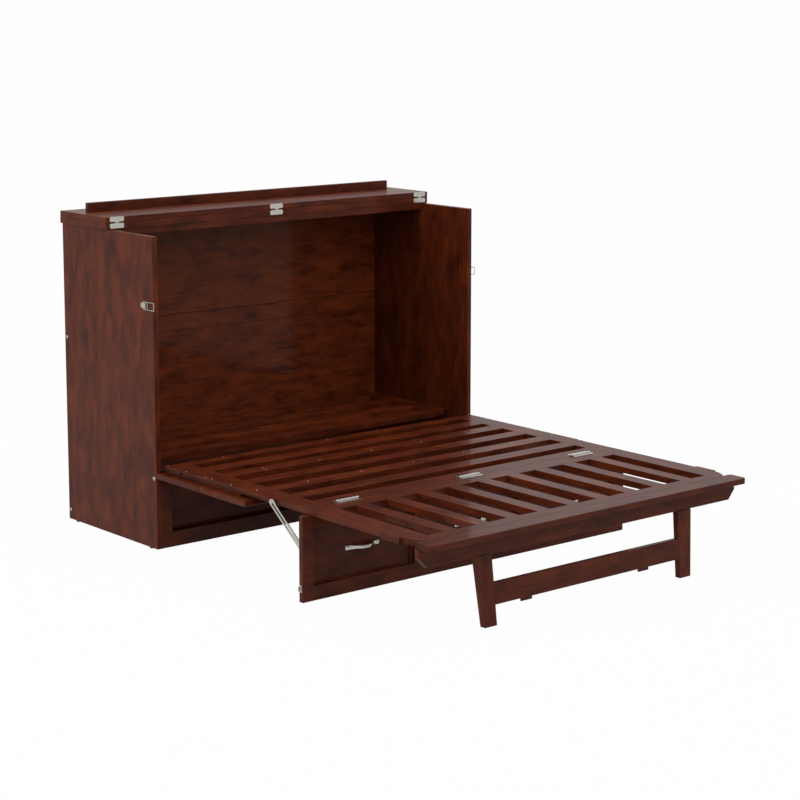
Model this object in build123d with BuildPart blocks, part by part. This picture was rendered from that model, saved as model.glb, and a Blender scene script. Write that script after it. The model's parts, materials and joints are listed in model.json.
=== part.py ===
from build123d import *
from math import cos, radians, sin
import os

os.makedirs("parts", exist_ok=True)

# Fold-away cabinet bed, full size, modelled opened out.  Millimetres, +Z up.
# X runs across the bed, +Y towards the cabinet's back.  The origin is on the floor,
# under the middle of the opened bed.

# ---- clearances and stock ----
edge = 1.5            # eased edges on the boards
running = 0.05        # radial clearance of a pin in its hole
side_play = 0.3       # end play between knuckles

# ---- cabinet ----
width = 1500          # over the two sides
depth = 602           # front edge to back edge
side_height = 1132    # floor to the underside of the fixed top
side_t = 21
glide_h = 5
glide_r = 9
glide_inset = 50      # from the front and back edges
back_t = 18
back_inset = 2        # back boards stand in from the sides' back edges
back_rail_low = 676
back_rail_h = 67
top_t = 25
top_depth = 319
top_overhang = 11
top_rail_w = 22
top_rail_h = 25
base_t = 30
base_top = 296
base_stile = 44
base_rail = 56
base_panel_t = 6

# ---- sleeping surface ----
bed_z = 312           # top of every slat
slat_t = 20

# ---- deck fixed inside the cabinet ----
deck_reach = 112      # its front edge, behind the cabinet front
deck_end_w = 73
deck_front_w = 66
deck_front_t = 24
deck_slat_w = 66
deck_gap = 71
deck_chamfer = 20
cleat_w = 22
cleat_h = 30

# ---- platform that swings up into the cabinet ----
pivot_back = 7.5      # pivot axis behind the cabinet front
pivot_z = 292.5
pivot_pin_r = 4
pivot_plate_len = 40
pivot_plate_h = 28
pivot_plate_t = 2
pivot_plate_edge = 6  # pivot axis behind the plate's front edge
pivot_pin_end = 1     # the pin stops this far outside the stile
bracket_eye_r = 10
bracket_t = 5
bracket_strap = 12    # height of the strap
bracket_len = 110     # strap length in front of the cabinet
platform_start = 20   # rear edge of the slats, in front of the cabinet
seam_reach = 832      # cabinet front to the foot hinge line
seam_gap = 1.2
stile_out = 34        # cabinet's outer face to the stile's outer face
stile_w = 77
lip_out = 26.7        # the same, to the thin lip on top of the stile
lip_t = 7.5
lip_room = 5          # between the lip's end and the stay's boss
platform_slat_w = 65
platform_gap = 68
platform_slats_n = 4
hinge_board_w = 57
rear_rail_w = 48
rear_gap = 59
rear_notch = 5
rear_notch_w = 84
rear_notch_in = 195   # outer notches' centres, from the cabinet's outer faces
batten_w = 40
batten_t = 8
batten_pitch = 239
block_len = 28
block_out = 28        # end block's outer face from the cabinet's outer face
stile_batten_len = 428
board_t = 20
board_low_w = 266
board_gap = 1
board_high_w = 268
board_start = 1       # boards close this far in front of the sides
field_depth = 5
field_margin = 40

# ---- drop leaf under the seam ----
leaf_t = 25
leaf_inset = 3        # leaf ends from the cabinet's outer faces
leaf_gap = 0.5        # under the slats
leaf_axis_drop = 2    # hinge axis under the slats
leaf_axis_back = 4    # hinge axis behind the seam
leaf_axis_off = 1     # leaf's rear face in front of its hinge axis
leaf_stile = 47
leaf_mullion = 52
leaf_rail_low = 51
leaf_rail_high = 43
leaf_panel_t = 7
leaf_rebate = 6
leaf_rebate_play = 1.5
handle_centres = 128
handle_reach = 28
handle_w = 11
handle_t = 4
handle_foot = 18
handle_slope = 24     # run of the bent ends, from the hole centres inwards
handle_bend = 6

# ---- foot panel ----
foot_length = 638
foot_stile_w = 80
foot_rail_w = 77
foot_end_rail_w = 48
foot_slat_w = 55
foot_slat_side = 66.5 # between the outer slats and the stiles
foot_slats_n = 9
end_board_w = 70
end_board_out = 27
end_board_r = 14
ear_r = 5
cove_len = 74
cove_depth = 32
cove_end = 4          # web left between the cove and the end board
cove_mid_in = 12      # a point half way round the cove: in from the edge
cove_mid_y = 27       # and from its deep end
strip_out = 22.5
strip_len = 89

# ---- leg frame ----
rake = 5.6            # degrees, feet outwards
leg_t = 22.5
leg_axis_in = 80.2    # hinge axis from the outer end
leg_head_gap = 0.2
apron_out = 25.5
apron_h = 62
apron_t = 18
apron_cut = 33        # slanted lower corners
leg_foot_w = 52
leg_head_w = 66
leg_foot_out = 275    # outer edge at the floor, from the cabinet's outer face
leg_spread = 19       # outer edge moves this far out by the apron
stretcher_low = 64
stretcher_high = 134
stop_x = 270
stop_w = 50
stop_t = 4
stop_low = 48
stop_high = 120

# ---- lid ----
lid_t = 20
lid_gap = 0.6         # between the lid and the fixed top when folded back
lid_back = 1          # the lid's rear edge in front of the top's
lid_axis_off = 2.2    # hinge axis in front of the top's edge
lid_strip_h = 34
lid_strip_t = 18
lid_strip_set = 199   # strip's front face behind the lid's edge
lid_strip_in = 48.5

# ---- hinges ----
foot_hinge_len = 96
foot_hinge_r = 3.5
foot_hinge_w = 22
foot_hinge_x = 543
leaf_hinge_len = 90
leaf_hinge_r = 3
leaf_hinge_w = 28
leaf_plate_t = 1.3
groove_end = 1        # the barrels' grooves are longer by this at each end
leg_hinge_len = 60
leg_hinge_r = 3
leg_hinge_w = 30
leg_hinge_x = 459
lid_hinge_len = 60
lid_hinge_r = 2
lid_hinge_w = 21
lid_hinge_start = 3   # the oblong plates stand off the barrel
lid_barrel = 16
lid_plate_t = 1.8
lid_hinge_in = 34
plate_t = 2
plate_corner = 4

# ---- stays ----
stay_axis_back = 13.2 # lower pivot behind the leaf's rear face
stay_axis_z = 178
stay_top_reach = 656  # upper bolt, in front of the cabinet
stay_top_drop = 12    # upper bolt below the slats' top
stay_t = 3
stay_w = 22
stay_out = 23.2       # bar's outer face from the cabinet's outer face
stay_pin_r = 3
stay_head_t = 1.6
stay_slot_len = 142
stay_slot_w = 7
stay_boss_gap = 1
lug_t = 2.6
lug_r = 7
lug_h = 24
lug_base_t = 1.7
lug_gap = 0.8         # between the lug and the stile when the bed is closed
lug_pin_play = 0.2    # between the bar and the pin's head
lug_head_r = 5

# ---- latches on the outer faces ----
latch_z = 884.5
latch_plate_h = 21
latch_plate_len = 37
latch_plate_set = 33  # base plate's front end behind the cabinet front
latch_plate_t = 2
latch_axis_set = 45
latch_axis_out = 6
latch_pin_r = 1.5
latch_barrel_r = 3
latch_throw = 7       # lever pivot to loop pivot
lever_len = 23
lever_w = 15.6
lever_t = 3
ear_t = 1.5
wire_r = 1.25
loop_half = 13.7
loop_tip = 13         # the loop reaches this far past the cabinet front
strike_w = 16
strike_t = 2.2
strike_play = 0.3
strike_plate_h = 24
strike_plate_w = 12
strike_plate_t = 1.5
strike_end = 1        # the tongue ends this far outside the loop's centre line

# ---- places worked out from the sizes ----
reach = seam_reach + foot_length
front = (reach - depth) / 2              # y of the cabinet's front edges
back = front + depth
seam = front - seam_reach
tip = front - reach
half = width / 2
inner = half - side_t                    # inner face of a side
bed_under = bed_z - slat_t
back_face = back - back_inset - back_t
top_back = back - back_inset
top_edge = top_back - top_depth
top_z = side_height + top_t
pivot_y = front + pivot_back
platform_rear = front - platform_start
board_top = bed_under - batten_t
leaf_axis_y = seam + leaf_axis_back
leaf_axis_z = bed_under - leaf_axis_drop
leaf_rear = leaf_axis_y - leaf_axis_off
leaf_front = leaf_rear - leaf_t
leaf_top = bed_under - leaf_gap
leaf_half = half - leaf_inset
stile_x = half - stile_out               # outer face of the stiles
slat_x = stile_x - stile_w               # inner face of the platform's stiles
foot_slat_x = stile_x - foot_stile_w
foot_start = seam - seam_gap / 2
foot_rail_front = foot_start - foot_rail_w
end_board_back = tip + end_board_w
end_rail_back = end_board_back + foot_end_rail_w
lip_end = front - stay_top_reach + stay_w / 2 + lip_room
leg_axis_y = tip + leg_axis_in
leg_axis_z = bed_under - leg_hinge_r
lid_axis_y = top_edge - lid_axis_off
lid_axis_z = top_z + lid_gap / 2
lid_z = top_z + lid_gap
AROUND_X = (0, 90, 0)                    # turns a Z cylinder to lie along X


def board(x0, x1, y0, y1, z0, z1, mode=Mode.ADD):
    """A square-edged board between two corners."""
    with Locations(((x0 + x1) / 2, (y0 + y1) / 2, (z0 + z1) / 2)):
        Box(x1 - x0, y1 - y0, z1 - z0, mode=mode)


def rod(x0, x1, y, z, radius, mode=Mode.ADD):
    """A round bar along X."""
    with Locations(((x0 + x1) / 2, y, z)):
        Cylinder(radius, abs(x1 - x0), rotation=AROUND_X, mode=mode)


def hinge_half(xs, axis_y, axis_z, length, radius, away, low, high, span, middle, start=0, barrel=0):
    """One half of each butt hinge centred at xs, its barrel along X.

    The plate lies from low to high off the axis, along the plate's normal, and
    reaches span away from the axis.  The barrel is as long as the plate unless
    its length is given.  One half has the middle knuckle, and the other has the
    two end ones.  A plate with a start of its own is cut at all four corners and
    joined by a neck to a short barrel, which has one knuckle for each half.
    """
    barrel = barrel or length
    knuckle = barrel / 6
    normal = Vector(1, 0, 0).cross(Vector(*away))
    for x in xs:
        plane = Plane(origin=(x, axis_y, axis_z), x_dir=(1, 0, 0), z_dir=normal)
        with BuildSketch(plane.offset(low)) as plate:
            with Locations((0, (start + span) / 2)):
                outline = Rectangle(length, span - start)
            if start:
                chamfer(outline.vertices(), plate_corner)
                with Locations((0, start)):
                    Rectangle(barrel, 2 * start)
            else:
                chamfer(outline.vertices().group_by(Axis.Y)[-1], plate_corner)
        extrude(plate.sketch, amount=high - low)
        ends = [(x - barrel / 2, x - knuckle), (x + knuckle, x + barrel / 2)]
        centre = [(x - knuckle + side_play, x + knuckle - side_play)]
        if start:
            ends = [(x - barrel / 2, x)]
            centre = [(x + side_play, x + barrel / 2)]
        room = radius + side_play
        grow = 2 * side_play
        for a, b in (ends if middle else centre):
            board(a - grow, b + grow, axis_y - room, axis_y + room, axis_z - room, axis_z + room,
                  mode=Mode.SUBTRACT)
        for a, b in (centre if middle else ends):
            rod(a, b, axis_y, axis_z, radius)


# ======== cabinet ========

# Side panels: plain boards with eased long edges.
with BuildPart() as side_left:
    with BuildSketch(Plane.YZ.offset(-half)):
        with Locations(((front + back) / 2, (side_height + glide_h) / 2)):
            Rectangle(depth, side_height - glide_h)
    extrude(amount=side_t)
    chamfer(side_left.edges().filter_by(Axis.Z), edge)
side_left.part.label = "side_left"
export_step(side_left.part, "parts/side_left.step")

with BuildPart() as side_right:
    add(side_left.part.mirror(Plane.YZ))
side_right.part.label = "side_right"
export_step(side_right.part, "parts/side_right.step")

# Glides under the sides' bottom edges.
with BuildPart() as glides:
    with BuildSketch():
        for x in (-half + side_t / 2, half - side_t / 2):
            with Locations((x, front + glide_inset), (x, back - glide_inset)):
                Circle(glide_r)
    extrude(amount=glide_h)
glides.part.label = "glides"
export_step(glides.part, "parts/glides.step")

# Back: a lower and an upper board with a rail between, the joints eased to a fine line.
with BuildPart() as back_lower:
    board(-inner, inner, back_face, back_face + back_t, glide_h, back_rail_low)
back_lower.part.label = "back_lower"
export_step(back_lower.part, "parts/back_lower.step")

with BuildPart() as back_rail:
    board(-inner, inner, back_face, back_face + back_t, back_rail_low, back_rail_low + back_rail_h)
    chamfer(back_rail.edges().filter_by(Axis.X).group_by(Axis.Y)[0], edge)
back_rail.part.label = "back_rail"
export_step(back_rail.part, "parts/back_rail.step")

with BuildPart() as back_upper:
    board(-inner, inner, back_face, back_face + back_t, back_rail_low + back_rail_h, side_height)
back_upper.part.label = "back_upper"
export_step(back_upper.part, "parts/back_upper.step")

# Fixed top over the rear half, and the rail under its front edge.
with BuildPart() as fixed_top:
    board(-half - top_overhang, half + top_overhang, top_edge, top_back, side_height, top_z)
    chamfer(fixed_top.edges().filter_by(Axis.Z), 2 * edge)
    chamfer(fixed_top.faces().sort_by(Axis.Z)[0].edges(), edge)
fixed_top.part.label = "fixed_top"
export_step(fixed_top.part, "parts/fixed_top.step")

with BuildPart() as top_rail:
    board(-inner, inner, top_edge, top_edge + top_rail_w, side_height - top_rail_h, side_height)
    chamfer(top_rail.faces().sort_by(Axis.Z)[0].edges().filter_by(Axis.X), edge)
top_rail.part.label = "top_rail"
export_step(top_rail.part, "parts/top_rail.step")

# Base front: a frame with one long sunk panel.  Its top corners are notched round the pivots.
notch_w = stile_out - side_t + 2 * edge
notch_z = pivot_z - pivot_plate_h / 2 - edge
with BuildPart() as base_frame:
    with BuildSketch(Plane.XZ.offset(-front)):
        with Locations((0, (base_top + glide_h) / 2)):
            Rectangle(2 * inner, base_top - glide_h)
        window_h = base_top - glide_h - 2 * base_rail
        with Locations((0, (base_top + glide_h) / 2)):
            Rectangle(2 * (inner - base_stile), window_h, mode=Mode.SUBTRACT)
        with Locations((0, (base_top + notch_z) / 2)):
            with GridLocations(2 * inner - notch_w, 1, 2, 1):
                Rectangle(notch_w, base_top - notch_z, mode=Mode.SUBTRACT)
    extrude(amount=-base_t)
base_frame.part.label = "base_frame"
export_step(base_frame.part, "parts/base_frame.step")

with BuildPart() as base_panel:
    panel_x = inner - base_stile / 2
    board(-panel_x, panel_x, front + base_t, front + base_t + base_panel_t,
          glide_h + base_rail / 2, base_top - base_rail / 2)
base_panel.part.label = "base_panel"
export_step(base_panel.part, "parts/base_panel.step")

# Deck inside the cabinet: end boards with chamfered front corners, a thick front rail, slats.
deck_front_y = front + deck_reach
deck_x = inner - deck_end_w
with BuildPart() as deck_ends:
    with BuildSketch(Plane.XY.offset(bed_under)):
        with Locations((-inner + deck_end_w / 2, (deck_front_y + back_face) / 2)):
            plank = Rectangle(deck_end_w, back_face - deck_front_y)
        chamfer(plank.vertices().sort_by(Axis.Y)[:2].sort_by(Axis.X)[0], deck_chamfer)
    extrude(amount=slat_t)
    mirror(about=Plane.YZ)
deck_ends.part.label = "deck_ends"
export_step(deck_ends.part, "parts/deck_ends.step")

with BuildPart() as deck_front:
    board(-deck_x, deck_x, deck_front_y, deck_front_y + deck_front_w, bed_z - deck_front_t, bed_z)
deck_front.part.label = "deck_front"
export_step(deck_front.part, "parts/deck_front.step")

with BuildPart() as deck_slats:
    slat_y = deck_front_y + deck_front_w + deck_gap
    while slat_y + deck_slat_w + deck_gap < back_face:
        board(-deck_x, deck_x, slat_y, slat_y + deck_slat_w, bed_under, bed_z)
        slat_y += deck_slat_w + deck_gap
    board(-deck_x, deck_x, slat_y, back_face, bed_under, bed_z)
deck_slats.part.label = "deck_slats"
export_step(deck_slats.part, "parts/deck_slats.step")

# Cleats on the sides and the back that carry the deck.
with BuildPart() as deck_cleats:
    cleat_z = bed_under - cleat_h
    cleat_front = deck_front_y + cleat_w
    board(-inner, cleat_w - inner, cleat_front, back_face, cleat_z, bed_under)
    board(inner - cleat_w, inner, cleat_front, back_face, cleat_z, bed_under)
    rear_x = inner - cleat_w - side_play
    board(-rear_x, rear_x, back_face - cleat_w, back_face, cleat_z, bed_under)
deck_cleats.part.label = "deck_cleats"
export_step(deck_cleats.part, "parts/deck_cleats.step")

# Steel pivots on the inner faces: a plate, a shoulder and the stub pin.
bracket_out = half - stile_out + bracket_t           # outer face of the platform's bracket
with BuildPart() as pivot_plates:
    plate_y = pivot_y - pivot_plate_edge
    board(-inner, pivot_plate_t - inner, plate_y, plate_y + pivot_plate_len,
          pivot_z - pivot_plate_h / 2, pivot_z + pivot_plate_h / 2)
    chamfer(pivot_plates.edges().filter_by(Axis.X), 2 * edge)
    rod(-inner, -bracket_out - side_play, pivot_y, pivot_z, 2 * pivot_pin_r)
    rod(-inner, -stile_x - pivot_pin_end, pivot_y, pivot_z, pivot_pin_r)
    mirror(about=Plane.YZ)
pivot_plates.part.label = "pivot_plates"
export_step(pivot_plates.part, "parts/pivot_plates.step")

# ======== lid ========

with BuildPart() as lid_panel:
    board(-half - top_overhang, half + top_overhang, top_edge, top_back - lid_back, lid_z, lid_z + lid_t)
    chamfer(lid_panel.edges().filter_by(Axis.Z), 2 * edge)
    chamfer(lid_panel.faces().sort_by(Axis.Z)[-1].edges(), edge)
lid_panel.part.label = "lid_panel"
export_step(lid_panel.part, "parts/lid_panel.step")

# Strip across the lid: closed, it hangs behind the raised platform.
with BuildPart() as lid_strip:
    strip_y = top_edge + lid_strip_set
    strip_x = half + top_overhang - lid_strip_in
    board(-strip_x, strip_x, strip_y, strip_y + lid_strip_t, lid_z + lid_t, lid_z + lid_t + lid_strip_h)
    chamfer(lid_strip.faces().sort_by(Axis.Z)[-1].edges().filter_by(Axis.X), edge)
lid_strip.part.label = "lid_strip"
export_step(lid_strip.part, "parts/lid_strip.step")

# Lid hinges: round-ended leaves on the two front edges.
lid_hinges_x = (lid_hinge_in - half, 0, half - lid_hinge_in)
with BuildPart() as lid_hinge_fixed:
    hinge_half(lid_hinges_x, lid_axis_y, lid_axis_z, lid_hinge_len, lid_hinge_r,
               (0, 0, -1), lid_axis_off - lid_plate_t, lid_axis_off, lid_hinge_w,
               middle=False, start=lid_hinge_start, barrel=lid_barrel)
lid_hinge_fixed.part.label = "lid_hinge_fixed"
export_step(lid_hinge_fixed.part, "parts/lid_hinge_fixed.step")

with BuildPart() as lid_hinge_leaves:
    hinge_half(lid_hinges_x, lid_axis_y, lid_axis_z, lid_hinge_len, lid_hinge_r,
               (0, 0, 1), -lid_axis_off, lid_plate_t - lid_axis_off, lid_hinge_w,
               middle=True, start=lid_hinge_start, barrel=lid_barrel)
lid_hinge_leaves.part.label = "lid_hinge_leaves"
export_step(lid_hinge_leaves.part, "parts/lid_hinge_leaves.step")

# ======== platform ========

# Side stiles with a thin lip along the top outer edge, up to where the stays need room.
stile_end = seam + seam_gap / 2
with BuildPart() as platform_stiles:
    board(-stile_x, -slat_x, stile_end, platform_rear, bed_under, bed_z)
    board(lip_out - half, -stile_x, lip_end, platform_rear, bed_z - lip_t, bed_z)
    chamfer(platform_stiles.edges().filter_by(Axis.Y).group_by(Axis.Z)[-1].sort_by(Axis.X)[0], edge)
    mirror(about=Plane.YZ)
platform_stiles.part.label = "platform_stiles"
export_step(platform_stiles.part, "parts/platform_stiles.step")

# Rear rail with three shallow notches in its back edge.
with BuildPart() as platform_rear_rail:
    board(-slat_x, slat_x, platform_rear - rear_rail_w, platform_rear, bed_under, bed_z)
    for x in (rear_notch_in - half, 0, half - rear_notch_in):
        board(x - rear_notch_w / 2, x + rear_notch_w / 2, platform_rear - rear_notch, platform_rear,
              bed_under, bed_z, mode=Mode.SUBTRACT)
platform_rear_rail.part.label = "platform_rear_rail"
export_step(platform_rear_rail.part, "parts/platform_rear_rail.step")

# Slats: four at an even pitch from the hinge board, and one nearer the rear rail.
hinge_board_back = stile_end + hinge_board_w
with BuildPart() as platform_slats:
    for n in range(platform_slats_n):
        slat_y = hinge_board_back + platform_gap + n * (platform_slat_w + platform_gap)
        board(-slat_x, slat_x, slat_y, slat_y + platform_slat_w, bed_under, bed_z)
    last_y = platform_rear - rear_rail_w - rear_gap
    board(-slat_x, slat_x, last_y - platform_slat_w, last_y, bed_under, bed_z)
platform_slats.part.label = "platform_slats"
export_step(platform_slats.part, "parts/platform_slats.step")

# Hinge board at the seam, grooved underneath for the leaf's hinge barrels.
leaf_hinges_x = (-foot_hinge_x, 0, foot_hinge_x)
barrel_cut = leaf_hinge_r + 2 * side_play
groove_half = leaf_hinge_len / 2 + groove_end
with BuildPart() as hinge_board:
    board(-slat_x, slat_x, stile_end, hinge_board_back, bed_under, bed_z)
    for x in leaf_hinges_x:
        rod(x - groove_half, x + groove_half, leaf_axis_y, leaf_axis_z, barrel_cut, mode=Mode.SUBTRACT)
hinge_board.part.label = "hinge_board"
export_step(hinge_board.part, "parts/hinge_board.step")

# Battens between the slats and the boards below, with the end blocks at the stiles.
batten_front = front - board_start - board_low_w - board_gap - board_high_w
with BuildPart() as platform_battens:
    batten_mid = (platform_rear + batten_front) / 2
    with Locations((0, batten_mid, board_top + batten_t / 2)):
        with GridLocations(batten_pitch, 1, 5, 1):
            Box(batten_w, platform_rear - batten_front, batten_t)
    block_y = platform_rear - stile_batten_len
    for side in (-1, 1):
        x0, x1 = sorted((side * stile_x, side * (slat_x + 2 * edge)))
        board(x0, x1, block_y, platform_rear, board_top, bed_under)
        x0, x1 = sorted((side * (half - block_out), side * (slat_x + 2 * edge)))
        board(x0, x1, block_y - block_len, block_y, board_top, bed_under)
platform_battens.part.label = "platform_battens"
export_step(platform_battens.part, "parts/platform_battens.step")


def field_pockets(y0, y1, z):
    """Three shallow fields routed into a board's lower face."""
    field_w = (2 * leaf_half - 2 * leaf_stile - 2 * leaf_mullion) / 3
    with BuildSketch(Plane.XY.offset(z)) as fields:
        with Locations((0, (y0 + y1) / 2)):
            with GridLocations(field_w + leaf_mullion, 1, 3, 1):
                Rectangle(field_w, y1 - y0 - 2 * field_margin)
    extrude(fields.sketch, amount=field_depth, mode=Mode.SUBTRACT)


# The two front boards: raised, they close the cabinet's front below the leaf.
board_back = front - board_start
with BuildPart() as front_board_low:
    board(-half, half, board_back - board_low_w, board_back, board_top - board_t, board_top)
    chamfer(front_board_low.faces().sort_by(Axis.Z)[0].edges(), edge)
    field_pockets(board_back - board_low_w, board_back, board_top - board_t)
front_board_low.part.label = "front_board_low"
export_step(front_board_low.part, "parts/front_board_low.step")

board_joint = board_back - board_low_w - board_gap
with BuildPart() as front_board_high:
    board(-half, half, batten_front, board_joint, board_top - board_t, board_top)
    chamfer(front_board_high.faces().sort_by(Axis.Z)[0].edges(), edge)
    field_pockets(batten_front, board_joint, board_top - board_t)
front_board_high.part.label = "front_board_high"
export_step(front_board_high.part, "parts/front_board_high.step")

# Brackets on the stiles: an eye on the pivot and a strap under the lip.
with BuildPart() as pivot_brackets:
    with BuildSketch(Plane.YZ.offset(-bracket_out)):
        with Locations((pivot_y, pivot_z)):
            Circle(bracket_eye_r)
        strap_end = front - bracket_len
        with Locations(((pivot_y + strap_end) / 2, bed_under + bracket_strap / 2)):
            Rectangle(pivot_y - strap_end, bracket_strap)
        with Locations((pivot_y, pivot_z)):
            Circle(pivot_pin_r + running, mode=Mode.SUBTRACT)
    extrude(amount=bracket_t)
    mirror(about=Plane.YZ)
pivot_brackets.part.label = "pivot_brackets"
export_step(pivot_brackets.part, "parts/pivot_brackets.step")

# Hinges on top of the seam, and the platform's half of them.
foot_hinges_x = (-foot_hinge_x, 0, foot_hinge_x)
fold_z = bed_z + foot_hinge_r
with BuildPart() as foot_hinge_fixed:
    hinge_half(foot_hinges_x, seam, fold_z, foot_hinge_len, foot_hinge_r,
               (0, 1, 0), -foot_hinge_r, plate_t - foot_hinge_r, foot_hinge_w, middle=False)
foot_hinge_fixed.part.label = "foot_hinge_fixed"
export_step(foot_hinge_fixed.part, "parts/foot_hinge_fixed.step")

# The platform's half of the leaf hinges, under the hinge board.
with BuildPart() as leaf_hinge_fixed:
    hinge_half(leaf_hinges_x, leaf_axis_y, leaf_axis_z, leaf_hinge_len, leaf_hinge_r,
               (0, 1, 0), leaf_axis_drop - leaf_plate_t, leaf_axis_drop, leaf_hinge_w, middle=False)
leaf_hinge_fixed.part.label = "leaf_hinge_fixed"
export_step(leaf_hinge_fixed.part, "parts/leaf_hinge_fixed.step")

# ======== stays ========

stay_y = leaf_rear + stay_axis_back
stay_top_y = front - stay_top_reach
stay_top_z = bed_z - stay_top_drop
stay_x = half - stay_out - stay_t                  # inner face of the bar
stay_line = Vector(0, stay_top_y - stay_y, stay_top_z - stay_axis_z)

# Boss on each stile behind the stay's bolt.
with BuildPart() as stay_bosses:
    rod(-stile_x, -stay_x + stay_boss_gap, stay_top_y, stay_top_z, stay_w / 2)
    mirror(about=Plane.YZ)
stay_bosses.part.label = "stay_bosses"
export_step(stay_bosses.part, "parts/stay_bosses.step")

# Slotted flat bar from the leaf up to the stile, with the bolt's head at the slot's upper end.
with BuildPart() as stay_left:
    bar_plane = Plane(origin=(-stay_x, stay_y, stay_axis_z), x_dir=tuple(stay_line), z_dir=(-1, 0, 0))
    with BuildSketch(bar_plane):
        with Locations((stay_line.length / 2, 0)):
            SlotCenterToCenter(stay_line.length, stay_w)
        Circle(stay_pin_r + running, mode=Mode.SUBTRACT)
        with Locations((stay_line.length - stay_slot_len / 2, 0)):
            SlotCenterToCenter(stay_slot_len, stay_slot_w, mode=Mode.SUBTRACT)
    extrude(amount=stay_t)
    head_x = -stay_x - stay_t
    rod(head_x - stay_head_t, head_x, stay_top_y, stay_top_z, stay_slot_w)
    rod(head_x, -stay_x, stay_top_y, stay_top_z, stay_slot_w / 2)
stay_left.part.label = "stay_left"
export_step(stay_left.part, "parts/stay_left.step")

with BuildPart() as stay_right:
    add(stay_left.part.mirror(Plane.YZ))
stay_right.part.label = "stay_right"
export_step(stay_right.part, "parts/stay_right.step")

# ======== leaf ========

# Frame of stiles and rails round three open fields, its rear edges rebated for the sides.
field_w = (2 * leaf_half - 2 * leaf_stile - 2 * leaf_mullion) / 3
field_h = leaf_top - leaf_rail_low - leaf_rail_high
field_z = leaf_rail_low + field_h / 2
rebate_w = side_t + leaf_rebate_play - leaf_inset
with BuildPart() as leaf_frame:
    with BuildSketch(Plane.XZ.offset(-leaf_front)):
        with Locations((0, leaf_top / 2)):
            Rectangle(2 * leaf_half, leaf_top)
        with Locations((0, field_z)):
            with GridLocations(field_w + leaf_mullion, 1, 3, 1):
                Rectangle(field_w, field_h, mode=Mode.SUBTRACT)
    extrude(amount=-leaf_t)
    for side in (-1, 1):
        x0, x1 = sorted((side * leaf_half, side * (leaf_half - rebate_w)))
        board(x0, x1, leaf_rear - leaf_rebate, leaf_rear, 0, leaf_top, mode=Mode.SUBTRACT)
    for x in leaf_hinges_x:
        rod(x - groove_half, x + groove_half, leaf_axis_y, leaf_axis_z, barrel_cut, mode=Mode.SUBTRACT)
leaf_frame.part.label = "leaf_frame"
export_step(leaf_frame.part, "parts/leaf_frame.step")

# Thin panels at the back of the three fields.
with BuildPart() as leaf_panels:
    with BuildSketch(Plane.XZ.offset(-leaf_rear)):
        with Locations((0, field_z)):
            with GridLocations(field_w + leaf_mullion, 1, 3, 1):
                Rectangle(field_w, field_h)
    extrude(amount=leaf_panel_t)
leaf_panels.part.label = "leaf_panels"
export_step(leaf_panels.part, "parts/leaf_panels.step")

# Bridge handles, one on each panel: a flat strap bent out from two feet.
panel_front = leaf_rear - leaf_panel_t
with BuildPart() as handles:
    for x in (-field_w - leaf_mullion, 0, field_w + leaf_mullion):
        ends = handle_centres / 2 + handle_foot / 2
        rise = handle_centres / 2 - handle_slope
        low_y = panel_front - handle_t / 2
        high_y = panel_front - handle_reach + handle_t / 2
        with BuildLine() as bow:
            FilletPolyline((x - ends, low_y, field_z), (x - ends + handle_foot, low_y, field_z),
                           (x - rise, high_y, field_z), (x + rise, high_y, field_z),
                           (x + ends - handle_foot, low_y, field_z), (x + ends, low_y, field_z),
                           radius=handle_bend)
        with BuildSketch(Plane(origin=(x - ends, low_y, field_z), x_dir=(0, 1, 0), z_dir=(1, 0, 0))):
            Rectangle(handle_t, handle_w)
        sweep(path=bow.line)
handles.part.label = "handles"
export_step(handles.part, "parts/handles.step")

# The leaf's half of its hinges, on the rear face.
with BuildPart() as leaf_hinge_leaves:
    hinge_half(leaf_hinges_x, leaf_axis_y, leaf_axis_z, leaf_hinge_len, leaf_hinge_r,
               (0, 0, -1), -leaf_axis_off, leaf_plate_t - leaf_axis_off, leaf_hinge_w, middle=True)
leaf_hinge_leaves.part.label = "leaf_hinge_leaves"
export_step(leaf_hinge_leaves.part, "parts/leaf_hinge_leaves.step")

# Lugs on the leaf's rear face that carry the stays' lower pins.
with BuildPart() as stay_lugs:
    lug_x = stile_x + lug_gap
    pin_head_x = half - stay_out + lug_pin_play
    with BuildSketch(Plane.YZ.offset(-lug_x - lug_t)):
        with Locations((stay_y, stay_axis_z)):
            Circle(lug_r)
        with Locations(((stay_y + leaf_rear) / 2, stay_axis_z)):
            Rectangle(stay_y - leaf_rear, 2 * lug_r)
    extrude(amount=lug_t)
    board(rebate_w - leaf_half + side_play, -lug_x, leaf_rear, leaf_rear + lug_base_t,
          stay_axis_z - lug_h / 2, stay_axis_z + lug_h / 2)
    rod(-pin_head_x, -lug_x, stay_y, stay_axis_z, stay_pin_r)
    rod(-pin_head_x - stay_head_t, -pin_head_x, stay_y, stay_axis_z, lug_head_r)
    mirror(about=Plane.YZ)
stay_lugs.part.label = "stay_lugs"
export_step(stay_lugs.part, "parts/stay_lugs.step")

# ======== foot panel ========

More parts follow.
